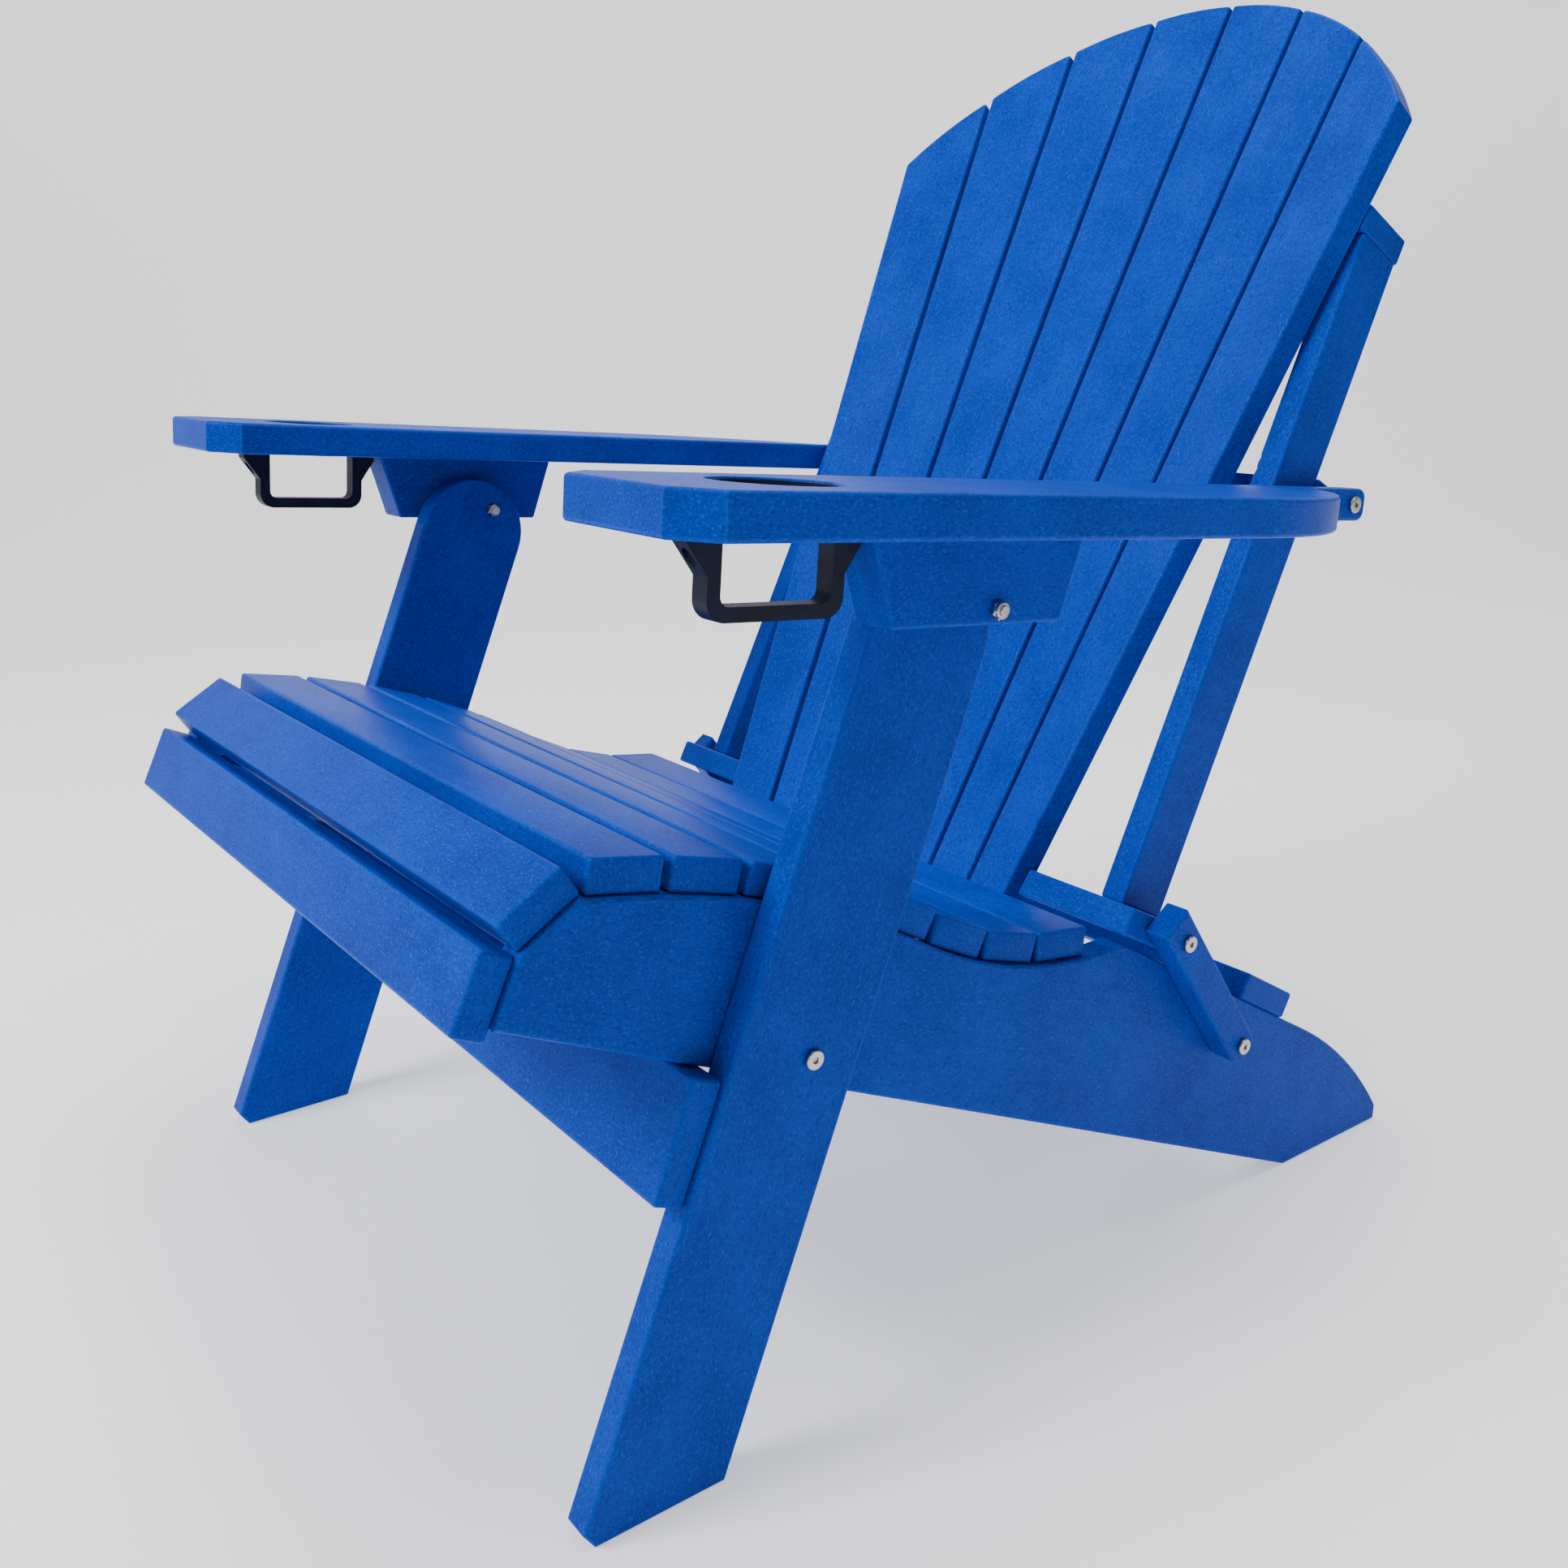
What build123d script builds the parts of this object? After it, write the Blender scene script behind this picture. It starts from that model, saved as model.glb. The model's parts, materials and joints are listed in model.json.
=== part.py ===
from build123d import *
import os
from math import atan2, cos, degrees, hypot, radians, sin, sqrt, tan

# Folding adirondack chair of plastic lumber, with a cup holder in each arm.
# Millimetres, +Z up; the front of the chair faces -Y and the sitter's left is +X.
# Side outlines are drawn as (y, z) on planes across X; originY moves them so that
# the middle of the chair's box stands over the origin.

os.makedirs("parts", exist_ok=True)

# boards
boardThick = 22.2        # legs, rails, slats and cross boards
armThick = 25.4
bracketThick = 35.0
easedEdge = 2.6          # small radius on every board's long edges
faceGap = 0.3            # between boards that turn face to face
screwSpare = 0.1         # radius left round a screw's shank
pinSpare = 0.08          # running clearance of a pivot bolt, on the radius

# across the chair: half widths and sides
railOuterX = 304.0
slatInset = 5.0          # seat slats and apron, in from the rails' outer faces
stretcherInset = 4.5     # stretcher, in from the legs' outer faces
armInset = 24.0          # arms' inner edges, in from the rails' outer faces
armWidth = 139.0
uprightGap = 2.0         # between an upright and the arm's tail
cupInset = 67.0          # cup hole's centre, out from the arm's inner edge
railInnerX = railOuterX - boardThick
legInnerX = railOuterX + faceGap
legOuterX = legInnerX + boardThick
bracketInnerX = legOuterX + faceGap
bracketOuterX = bracketInnerX + bracketThick
seatHalfWidth = railOuterX - slatInset
stretcherHalfWidth = legOuterX - stretcherInset
armInnerX = railOuterX - armInset
armOuterX = armInnerX + armWidth
cupX = armInnerX + cupInset
uprightOuterX = armInnerX - uprightGap
uprightInnerX = uprightOuterX - boardThick
armBoardHalf = armInnerX - faceGap

# rail outline
railTilt = 24.5          # slope of the long lower edge
footFrontY = 445.0
footRearY = 580.5
noseY = -292.0
noseHeight = 43.0
noseTop = (-236.4, 398.7)
humpEnd = (25.0, 307.5)
humpEndSlope = 31.0      # downwards to the rear
dipEnd = (185.0, 260.0)
peak = (219.0, 260.5)
peakRadius = 20.0
slopeEnd = (458.2, 124.1)
heelTop = (581.0, 14.0)
heelRadius = 7.0
railEase = 2.6

# seat
seatSlatCount = 9        # the nose slat and eight on the curve
slatWidth = 50.4
slatPitch = 55.2
firstSlatStart = 5.0     # along the rail's top edge, from noseTop
noseSlatWidth = 48.0
apronHeight = 50.5
apronDrop = 1.5
rearBoardWidth = 70.0
rearBoardStart = 167.0   # along the rear slope, from the peak

# front legs
legLean = 22.0
legWidth = 97.7
legFootFrontY = -265.6
legTopZ = 522.6          # centre of the round top
footBevel = 12.0
stretcherHeight = 80.0
stretcherTopZ = 272.6    # rear top corner of the stretcher

# pivots, as (y, z)
legPivot = (-92.3, 270.1)
armFrontPivot = (17.1, 542.4)
linkLowPivot = (340.2, 152.0)

# links
linkWidth = 29.0
linkAbove = 22.5
linkBelow = 13.0
linkCorner = 12.0
linkTopUp = -29.9        # of the top pivot, in the back's own directions
linkTopForward = -34.2

# back: a fan of flat slats, each turned a little towards the sitter
backOrigin = (247.2, 300.0)
backLean = 27.16
backSlatCount = 7
slatPitchLow = 57.1      # at the back origin's level
slatPitchRise = 0.0409   # growth of the pitch for each mm up the back
slatTurn = 4.2           # between neighbouring slats
backSlatGap = 5.0
archRadius = 344.5
archTop = 778.0
slatFoot = -55.0
crossbarLow = -42.3
crossbarFront = 11.8
crossbarRear = -60.0
uprightDepth = 50.8
uprightFrontLow = -6.0
uprightFrontHigh = 8.0
braceLow = 533.0
braceRear = -46.0
braceFront = 12.0
armBoardUp = 339.5
armBoardDepth = 44.0
armRearForward = -68.5   # of the arms' rear pivot, in the back's own directions
recessSpare = 1.5
recessDepth = 60.0
archSpare = 20.0
slatScrewRun = 20.0
slatScrewBore = 60.0
screwSink = 8.0
uprightScrewPoint = 30.0

# arms
armSlope = 4.02
armFrontY = -236.9
armFrontZ = 632.4
armCorner = 22.0
armStraight = 440.0
armSweep = 223.0
armTailWidth = 22.0
armTailPast = 17.0
armEase = 3.0
cupHoleRadius = 38.0
cupRim = 1.5
cupRun = 102.2           # from the arm's front edge to the hole's centre
armTailCorner = 8.0       # seen from the side
bracketTopFront = 159.1  # runs along the arm from its front edge
bracketTopRear = 331.5
bracketLowFront = 179.5
bracketLowRear = 315.4
bracketHeight = 56.0
bracketScrewInset = 26.0
bracketScrewRun = 30.0

# cup holder
cupDepth = 40.0          # from the arm's underside to the strap's floor
cupGrip = 37.0           # from the hole's centre to the strap's inner wall
linerInner = 36.0        # radius of the ring that lines the hole
linerPast = 1.5          # below the arm
gussetDrop = 24.0        # from the arm's underside to the foot of the sloping outer wall
strapThick = 8.5
strapWidth = 14.0
flangeFront = 14.0
flangeRear = 11.6
flangeThick = 6.0
strapCorner = 12.0

# hardware
boltRadius = 3.2
headRadius = 6.5
headThick = 3.4
socketAcross = 4.0
socketDeep = 2.2
nutAcross = 11.1
nutThick = 5.6
insertRadius = 4.4
insertThick = 2.0
boltPast = 1.5
washerRadius = 8.0
washerThick = 1.2
barrelRadius = 5.0
barrelLength = 18.0
barrelSnug = 0.05
barrelDepth = 40.0       # from the board's end to the barrel nut
screwRadius = 2.1
screwHeadRadius = 4.2
screwHeadThick = 2.4
screwPoint = 14.0        # shank in the second board
screwTip = 1.4           # chamfer of the point
driveAcross = 1.6        # corner radius of the drive recess
driveDeep = 1.4
crownEase = 1.1          # round edge of a bolt's head
snug = 0.05              # round a bolt, in the board or nut that it turns with
pocketLean = 15.0        # of a hidden screw to the board that it is driven from
pocketRun = 24.0         # from its head to the joint
pocketBack = 37.0        # from its head out of the board's face

# the middle of the chair's box in Y
noseLow = (noseY, (footFrontY - noseY) * tan(radians(railTilt)))
apronFrontY = noseY - (apronHeight - noseHeight + apronDrop) * sin(radians(railTilt))
apronFrontY -= boardThick * cos(radians(railTilt))
backRearY = backOrigin[0] + archTop * sin(radians(backLean)) + boardThick * cos(radians(backLean))
originY = -(apronFrontY + backRearY) / 2


def along(point, angle, distance):
    """The point at a distance in a direction, in degrees from +Y towards +Z."""
    return (point[0] + distance * cos(radians(angle)), point[1] + distance * sin(radians(angle)))


def sidePlane(x):
    """Plane across X: its own x runs to the rear, its own y up."""
    return Plane(origin=(x, originY, 0), x_dir=(0, 1, 0), z_dir=(1, 0, 0))


def keep(part, name):
    part.label = name
    export_step(part, "parts/" + name + ".step")


def arcFrom(start, angle, end):
    """Radius and turn of the arc that leaves start at an angle and meets end."""
    chord = hypot(end[0] - start[0], end[1] - start[1])
    chordAngle = degrees(atan2(end[1] - start[1], end[0] - start[0]))
    half = chordAngle - angle
    return chord / (2 * sin(radians(abs(half)))), 2 * half


# rail outline
noseHigh = along(noseLow, 90 - railTilt, noseHeight)
noseAngle = degrees(atan2(noseTop[1] - noseHigh[1], noseTop[0] - noseHigh[0]))
rearSlope = degrees(atan2(slopeEnd[1] - peak[1], slopeEnd[0] - peak[0]))
humpRadius, humpTurn = arcFrom(humpEnd, 180 - humpEndSlope, noseTop)
dipRadius, dipTurn = arcFrom(humpEnd, -humpEndSlope, dipEnd)
humpLength = humpRadius * radians(abs(humpTurn))


def seatLine(distance):
    """Point on the rails' curved top edge, so far from noseTop."""
    if distance <= humpLength:
        turned = (humpLength - distance) / humpRadius
        centre = along(humpEnd, 270 - humpEndSlope, humpRadius)
        return along(centre, 90 - humpEndSlope + degrees(turned), humpRadius)
    turned = (distance - humpLength) / dipRadius
    centre = along(humpEnd, 90 - humpEndSlope, dipRadius)
    return along(centre, 270 - humpEndSlope + degrees(turned), dipRadius)


def screwHole(start, direction, length, head):
    """Clearance cutter for one wood screw: shank and head seat."""
    plane = Plane(origin=start, z_dir=direction)
    with BuildPart(mode=Mode.PRIVATE) as cutter:
        with BuildSketch(plane):
            Circle(screwRadius + screwSpare)
        extrude(amount=length + screwSpare)
        if head:
            with BuildSketch(plane):
                Circle(screwHeadRadius + screwSpare)
            extrude(amount=-head)
    return cutter.part


def screw(start, direction, length):
    """One pan-head wood screw; start is under its head."""
    plane = Plane(origin=start, z_dir=direction)
    with BuildPart(mode=Mode.PRIVATE) as piece:
        with BuildSketch(plane):
            Circle(screwRadius)
        extrude(amount=length)
        chamfer(piece.edges().sort_by(Axis(plane.origin, plane.z_dir))[-1], length=screwTip)
        with BuildSketch(plane):
            Circle(screwHeadRadius)
        extrude(amount=-screwHeadThick)
        with BuildSketch(plane.offset(-screwHeadThick)):
            RegularPolygon(driveAcross, 6)
        extrude(amount=driveDeep, mode=Mode.SUBTRACT)
    return piece.part


def sideSpot(x, point):
    """World place of a (y, z) point at x."""
    return (x, originY + point[0], point[1])


def backPoint(up, forward):
    """(y, z) of a point so far up the back and forward of the middle slat's face."""
    angle = radians(backLean)
    y = backOrigin[0] + up * sin(angle) - forward * cos(angle)
    return (y, backOrigin[1] + up * cos(angle) + forward * sin(angle))


def backPlane(up=0):
    """Plane level across the back: its own x is X, its own y runs forward."""
    angle = radians(backLean)
    place = sideSpot(0, backPoint(up, 0))
    return Plane(origin=place, x_dir=(1, 0, 0), z_dir=(0, sin(angle), cos(angle)))


linkTopPivot = backPoint(linkTopUp, linkTopForward)
armRearPivot = backPoint(armBoardUp, armRearForward)


def startX(side, inner, outer):
    """Lower X of a piece that lies between inner and outer on its side."""
    return inner if side > 0 else -outer


def xBar(x, point, length, radius):
    """Round bar along X from x, centred on a (y, z) point."""
    with BuildPart(mode=Mode.PRIVATE) as bar:
        with BuildSketch(sidePlane(x)):
            with Locations(point):
                Circle(radius)
        extrude(amount=length)
    return bar.part


def headedBolt(face, outward, point, length):
    """Flat-head bolt with a hex socket; face is where its head bears."""
    with BuildPart(mode=Mode.PRIVATE) as bolt:
        with BuildSketch(sidePlane(face)):
            with Locations(point):
                Circle(headRadius)
        extrude(amount=outward * headThick)
        crown = bolt.faces().sort_by(Axis.X)[-1 if outward > 0 else 0]
        fillet(crown.edges(), radius=crownEase)
        with BuildSketch(sidePlane(face + outward * headThick)):
            with Locations(point):
                RegularPolygon(socketAcross / 2, 6, major_radius=False)
        extrude(amount=-outward * socketDeep, mode=Mode.SUBTRACT)
        with BuildSketch(sidePlane(face)):
            with Locations(point):
                Circle(boltRadius)
        extrude(amount=-outward * length)
    return bolt.part


def lockNut(face, outward, point):
    """Hex nut with a rolled collar for its nylon ring."""
    hexHigh = nutThick - insertThick
    with BuildPart(mode=Mode.PRIVATE) as nut:
        with BuildSketch(sidePlane(face)):
            with Locations(point):
                RegularPolygon(nutAcross / 2, 6, major_radius=False)
        extrude(amount=outward * hexHigh)
        with BuildSketch(sidePlane(face + outward * hexHigh)):
            with Locations(point):
                Circle(nutAcross / 2 - snug)
                Circle(insertRadius, mode=Mode.SUBTRACT)
        extrude(amount=outward * insertThick)
        with BuildSketch(sidePlane(face)):
            with Locations(point):
                Circle(boltRadius + snug)
        extrude(amount=outward * nutThick, mode=Mode.SUBTRACT)
    return nut.part


def nylonRing(face, outward, point):
    """Ring that fills a lock nut's collar."""
    with BuildPart(mode=Mode.PRIVATE) as ring:
        with BuildSketch(sidePlane(face + outward * (nutThick - insertThick))):
            with Locations(point):
                Circle(insertRadius)
                Circle(boltRadius + snug, mode=Mode.SUBTRACT)
        extrude(amount=outward * insertThick)
    return ring.part


def washer(face, outward, point):
    """Flat washer on a face."""
    with BuildPart(mode=Mode.PRIVATE) as disc:
        with BuildSketch(sidePlane(face)):
            with Locations(point):
                Circle(washerRadius)
                Circle(boltRadius + snug, mode=Mode.SUBTRACT)
        extrude(amount=outward * washerThick)
    return disc.part


def barrel(spot, radius, pivot):
    """Barrel nut that stands up the back from spot; a bolt at pivot crosses it."""
    with BuildPart(mode=Mode.PRIVATE) as nut:
        with BuildSketch(Plane(origin=spot, z_dir=backUp)):
            Circle(radius)
        extrude(amount=barrelLength)
        if pivot:
            bore = spot.X - 2 * radius
            add(xBar(bore, pivot, 4 * radius, boltRadius + snug), mode=Mode.SUBTRACT)
    return nut.part


def pocketAim(side, innerX, point, angle):
    """Start and direction of a hidden screw that crosses its joint at a (y, z) point."""
    lean = radians(pocketLean)
    turn = radians(angle)
    aim = (side * sin(lean), cos(lean) * cos(turn), cos(lean) * sin(turn))
    meet = sideSpot(side * (innerX + boardThick / 2), point)
    start = tuple(meet[i] - pocketRun * aim[i] for i in range(3))
    return start, aim


def ridge(start, end):
    """Angle, in degrees, of the line from one (y, z) point to another."""
    return degrees(atan2(end[1] - start[1], end[0] - start[0]))


def armPoint(run, drop):
    """(y, z) of a point so far rearward along an arm's top and so far beneath it."""
    angle = radians(armSlope)
    y = armFrontY + run * cos(angle) - drop * sin(angle)
    return (y, armFrontZ - run * sin(angle) - drop * cos(angle))


def runTo(point):
    """Run along the arm to a (y, z) point."""
    angle = radians(armSlope)
    return (point[0] - armFrontY) * cos(angle) - (point[1] - armFrontZ) * sin(angle)


sides = ((1, "left"), (-1, "right"))
pocketLength = pocketRun + screwPoint

# where each seat slat lies: (front lower corner, angle, width)
seatPlaces = [(along(noseHigh, noseAngle, faceGap), noseAngle, noseSlatWidth)]
for index in range(seatSlatCount - 1):
    first = firstSlatStart + index * slatPitch
    low = seatLine(first)
    angle = ridge(low, seatLine(first + slatWidth))
    rise = 0
    for step in range(9):
        spot = seatLine(first + slatWidth * step / 8)
        lift = (spot[1] - low[1]) * cos(radians(angle)) - (spot[0] - low[0]) * sin(radians(angle))
        rise = max(rise, lift)
    seatPlaces.append((along(low, angle + 90, rise), angle, slatWidth))

apronAngle = 90 - railTilt
apronLow = along(noseLow, apronAngle, noseHeight - apronDrop - apronHeight)
rearBoardLow = along(peak, rearSlope, rearBoardStart)

# joints crossed by hidden screws: (point, direction of the screw)
seatJoints = [(along(low, angle, width / 2), angle + 90) for low, angle, width in seatPlaces]
apronJoints = [(along(noseLow, apronAngle, reach), apronAngle + 90) for reach in (10, 32)]
rearJoints = [(along(rearBoardLow, rearSlope, reach), rearSlope + 90) for reach in (18, 52)]

# ---- seat frame ----
for side, word in sides:
    with BuildPart() as rail:
        with BuildSketch(sidePlane(startX(side, railInnerX, railOuterX))) as outline:
            with BuildLine():
                Polyline((footFrontY, 0), noseLow, noseHigh, noseTop)
                ThreePointArc(noseTop, seatLine(humpLength / 2), humpEnd)
                ThreePointArc(humpEnd, seatLine(humpLength + dipRadius * radians(abs(dipTurn)) / 2), dipEnd)
                Polyline(dipEnd, peak, slopeEnd)
                slopeWay = (cos(radians(rearSlope)), sin(radians(rearSlope)))
                TangentArc(slopeEnd, heelTop, tangent=slopeWay)
                Polyline(heelTop, (footRearY, 0), (footFrontY, 0))
            make_face()
            fillet(outline.vertices().sort_by_distance(peak)[0], radius=peakRadius)
            fillet(outline.vertices().sort_by_distance(heelTop)[0], radius=heelRadius)
        extrude(amount=boardThick)
        fillet(rail.faces().sort_by(Axis.X)[0].edges(), radius=railEase)
        fillet(rail.faces().sort_by(Axis.X)[-1].edges(), radius=railEase)
        with BuildSketch(sidePlane(side * railOuterX)):
            with Locations(legPivot, linkLowPivot):
                Circle(boltRadius + pinSpare)
        extrude(amount=-side * boardThick, mode=Mode.SUBTRACT)
        for point, angle in seatJoints + apronJoints + rearJoints:
            start, aim = pocketAim(side, railInnerX, point, angle)
            add(screwHole(start, aim, pocketLength, pocketBack), mode=Mode.SUBTRACT)
    keep(rail.part, "rail_" + word)

for index, (low, angle, width) in enumerate(seatPlaces):
    with BuildPart() as seatSlat:
        with BuildSketch(sidePlane(-seatHalfWidth)):
            with Locations(low):
                Rectangle(width, boardThick, rotation=angle, align=(Align.MIN, Align.MIN))
        extrude(amount=2 * seatHalfWidth)
        fillet(seatSlat.edges(), radius=easedEdge)
        for side, word in sides:
            start, aim = pocketAim(side, railInnerX, *seatJoints[index])
            add(screwHole(start, aim, pocketLength, 0), mode=Mode.SUBTRACT)
    keep(seatSlat.part, "seat_slat_" + str(index + 1))

with BuildPart() as apron:
    with BuildSketch(sidePlane(-seatHalfWidth)):
        with Locations(apronLow):
            Rectangle(apronHeight, boardThick, rotation=apronAngle, align=(Align.MIN, Align.MIN))
    extrude(amount=2 * seatHalfWidth)
    fillet(apron.edges(), radius=easedEdge)
    for side, word in sides:
        for joint in apronJoints:
            start, aim = pocketAim(side, railInnerX, *joint)
            add(screwHole(start, aim, pocketLength, 0), mode=Mode.SUBTRACT)
keep(apron.part, "front_apron")

with BuildPart() as rearBoard:
    with BuildSketch(sidePlane(-railOuterX)):
        with Locations(rearBoardLow):
            Rectangle(rearBoardWidth, boardThick, rotation=rearSlope, align=(Align.MIN, Align.MIN))
    extrude(amount=2 * railOuterX)
    fillet(rearBoard.edges(), radius=easedEdge)
    for side, word in sides:
        for joint in rearJoints:
            start, aim = pocketAim(side, railInnerX, *joint)
            add(screwHole(start, aim, pocketLength, 0), mode=Mode.SUBTRACT)
keep(rearBoard.part, "rear_cross_board")

with BuildPart() as seatScrews:
    for side, word in sides:
        for point, angle in seatJoints + apronJoints + rearJoints:
            start, aim = pocketAim(side, railInnerX, point, angle)
            add(screw(start, aim, pocketLength))
keep(seatScrews.part, "seat_screws")

# ---- front legs ----
legAngle = 90 - legLean
legFoot = (legFootFrontY, 0)
legFootRear = (legFootFrontY + legWidth / cos(radians(legLean)), 0)
legTopY = (legFoot[0] + legFootRear[0]) / 2 + legTopZ * tan(radians(legLean))
legTop = (legTopY, legTopZ)
stretcherReach = stretcherTopZ / cos(radians(legLean))
stretcherLow = along(legFoot, legAngle, stretcherReach - stretcherHeight)
legJoints = [(along(stretcherLow, legAngle, reach), legAngle + 90) for reach in (20, 60)]

for side, word in sides:
    with BuildPart() as leg:
        with BuildSketch(sidePlane(startX(side, legInnerX, legOuterX))) as outline:
            with BuildLine():
                shoulderFront = along(legTop, legAngle + 90, legWidth / 2)
                shoulderRear = along(legTop, legAngle - 90, legWidth / 2)
                Polyline(shoulderRear, legFootRear, legFoot, shoulderFront)
                ThreePointArc(shoulderFront, along(legTop, legAngle, legWidth / 2), shoulderRear)
            make_face()
            chamfer(outline.vertices().sort_by_distance(legFoot)[0], length=footBevel)
        extrude(amount=boardThick)
        fillet(leg.faces().sort_by(Axis.X)[0].edges(), radius=easedEdge)
        fillet(leg.faces().sort_by(Axis.X)[-1].edges(), radius=easedEdge)
        with BuildSketch(sidePlane(side * legOuterX)):
            with Locations(legPivot, armFrontPivot):
                Circle(boltRadius + snug)
        extrude(amount=-side * boardThick, mode=Mode.SUBTRACT)
        for joint in legJoints:
            start, aim = pocketAim(side, legInnerX, *joint)
            add(screwHole(start, aim, pocketLength, pocketBack), mode=Mode.SUBTRACT)
    keep(leg.part, "leg_" + word)

with BuildPart() as stretcher:
    with BuildSketch(sidePlane(-stretcherHalfWidth)):
        with Locations(stretcherLow):
            Rectangle(stretcherHeight, boardThick, rotation=legAngle, align=(Align.MIN, Align.MIN))
    extrude(amount=2 * stretcherHalfWidth)
    fillet(stretcher.edges(), radius=easedEdge)
    for side, word in sides:
        for joint in legJoints:
            start, aim = pocketAim(side, legInnerX, *joint)
            add(screwHole(start, aim, pocketLength, 0), mode=Mode.SUBTRACT)
keep(stretcher.part, "leg_stretcher")

with BuildPart() as legScrews:
    for side, word in sides:
        for point, angle in legJoints:
            start, aim = pocketAim(side, legInnerX, point, angle)
            add(screw(start, aim, pocketLength))
keep(legScrews.part, "leg_screws")

twoBoards = legOuterX - railInnerX
throughBolt = twoBoards + washerThick + nutThick + boltPast

with BuildPart() as legBolts:
    for side, word in sides:
        add(headedBolt(side * legOuterX, side, legPivot, throughBolt))
keep(legBolts.part, "leg_bolts")

with BuildPart() as legWashers:
    for side, word in sides:
        add(washer(side * railInnerX, -side, legPivot))
keep(legWashers.part, "leg_washers")

with BuildPart() as legNuts:
    for side, word in sides:
        add(lockNut(side * (railInnerX - washerThick), -side, legPivot))
    add(lockNut(-legInnerX, 1, armFrontPivot))
keep(legNuts.part, "leg_nuts")

with BuildPart() as legNutRings:
    for side, word in sides:
        add(nylonRing(side * (railInnerX - washerThick), -side, legPivot))
    add(nylonRing(-legInnerX, 1, armFrontPivot))
keep(legNutRings.part, "leg_nut_inserts")

# each arm's front bolt is two ends that meet between the leg and the bracket
with BuildPart() as boltInnerEnds:
    add(headedBolt(legInnerX, -1, armFrontPivot, boardThick))
    add(xBar(-legOuterX, armFrontPivot, boardThick + nutThick + boltPast, boltRadius))
keep(boltInnerEnds.part, "arm_bolt_inner_ends")

# ---- rear links ----
linkAngle = ridge(linkTopPivot, linkLowPivot)
linkSpan = hypot(linkLowPivot[0] - linkTopPivot[0], linkLowPivot[1] - linkTopPivot[1])
linkStart = along(along(linkTopPivot, linkAngle + 180, linkAbove), linkAngle - 90, linkWidth / 2)
linkLength = linkAbove + linkSpan + linkBelow
linkFar = along(linkStart, linkAngle, linkLength)
linkFarOther = along(linkFar, linkAngle + 90, linkWidth)

for side, word in sides:
    with BuildPart() as link:
        with BuildSketch(sidePlane(startX(side, legInnerX, legOuterX))) as outline:
            with Locations(linkStart):
                Rectangle(linkLength, linkWidth, rotation=linkAngle, align=(Align.MIN, Align.MIN))
            fillet(outline.vertices().sort_by_distance(linkFar)[0], radius=linkCorner)
            fillet(outline.vertices().sort_by_distance(linkFarOther)[0], radius=linkCorner)
        extrude(amount=boardThick)
        fillet(link.faces().sort_by(Axis.X)[0].edges(), radius=easedEdge)
        fillet(link.faces().sort_by(Axis.X)[-1].edges(), radius=easedEdge)
        with BuildSketch(sidePlane(side * legOuterX)):
            with Locations(linkTopPivot):
                Circle(boltRadius + pinSpare)
            with Locations(linkLowPivot):
                Circle(boltRadius + snug)
        extrude(amount=-side * boardThick, mode=Mode.SUBTRACT)
    keep(link.part, "link_" + word)

    with BuildPart() as linkBolt:
        add(headedBolt(side * legOuterX, side, linkLowPivot, throughBolt))
    keep(linkBolt.part, "link_bolt_" + word)

    with BuildPart() as linkNut:
        add(washer(side * railInnerX, -side, linkLowPivot))
        add(lockNut(side * (railInnerX - washerThick), -side, linkLowPivot))
    keep(linkNut.part, "link_nut_" + word)

    with BuildPart() as linkNutRing:
        add(nylonRing(side * (railInnerX - washerThick), -side, linkLowPivot))
    keep(linkNutRing.part, "link_nut_insert_" + word)

# ---- back frame ----
# the slats fan out from one point far below the seat and step round towards the sitter
fanReach = slatPitchLow / slatPitchRise
fanHalf = backSlatCount // 2
fanSteps = [(0.0, 0.0)]
for index in range(fanHalf):
    before = radians(index * slatTurn)
    after = radians((index + 1) * slatTurn)
    stepX = (cos(before) + cos(after)) / 2
    stepForward = (sin(before) + sin(after)) / 2
    fanSteps.append((fanSteps[-1][0] + stepX, fanSteps[-1][1] + stepForward))


def backSpot(x, up, forward):
    """World place of a point in the back's own directions."""
    return Vector(*sideSpot(x, backPoint(up, forward)))


def fanPlane(number):
    """Front face of a slat: its own y runs up the slat from the fan's point."""
    turn = radians(number * slatTurn)
    stepX, stepForward = fanSteps[abs(number)]
    stepX = stepX if number > 0 else -stepX
    apex = backSpot(0, -fanReach, 0)
    across = backSpot(cos(turn), -fanReach, sin(turn)) - apex
    centre = backSpot(slatPitchRise * stepX, 1 - fanReach, slatPitchRise * stepForward) - apex
    lean = centre.dot(across)
    stretch = sqrt(centre.dot(centre) - lean * lean)
    return Plane(origin=apex, x_dir=across, z_dir=across.cross(centre)), lean, stretch


def fanOutline(number, low, high, spareLow, spareHigh):
    """Corners of a slat's share of the fan; spares widen its lower-x and higher-x sides."""
    plane, lean, stretch = fanPlane(number)
    corners = []
    for up, order in ((low, 1), (high, -1)):
        reach = up + fanReach
        half = slatPitchRise * reach / 2
        lowSide = (lean * reach - half - spareLow, stretch * reach)
        highSide = (lean * reach + half + spareHigh, stretch * reach)
        corners += [lowSide, highSide][::order]
    return plane, corners


def recess(low, high):
    """Room for all the slats in a board that crosses behind them."""
    pieces = []
    for number in range(-fanHalf, fanHalf + 1):
        outer = recessSpare - backSlatGap / 2
        inner = backSlatGap / 2
        spareLow = outer if number == -fanHalf else inner
        spareHigh = outer if number == fanHalf else inner
        plane, corners = fanOutline(number, low, high, spareLow, spareHigh)
        with BuildPart(mode=Mode.PRIVATE) as room:
            with BuildSketch(plane.offset(-boardThick)):
                with BuildLine():
                    Polyline(*corners, close=True)
                make_face()
            extrude(amount=recessDepth)
        pieces.append(room.part)
    return pieces


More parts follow.
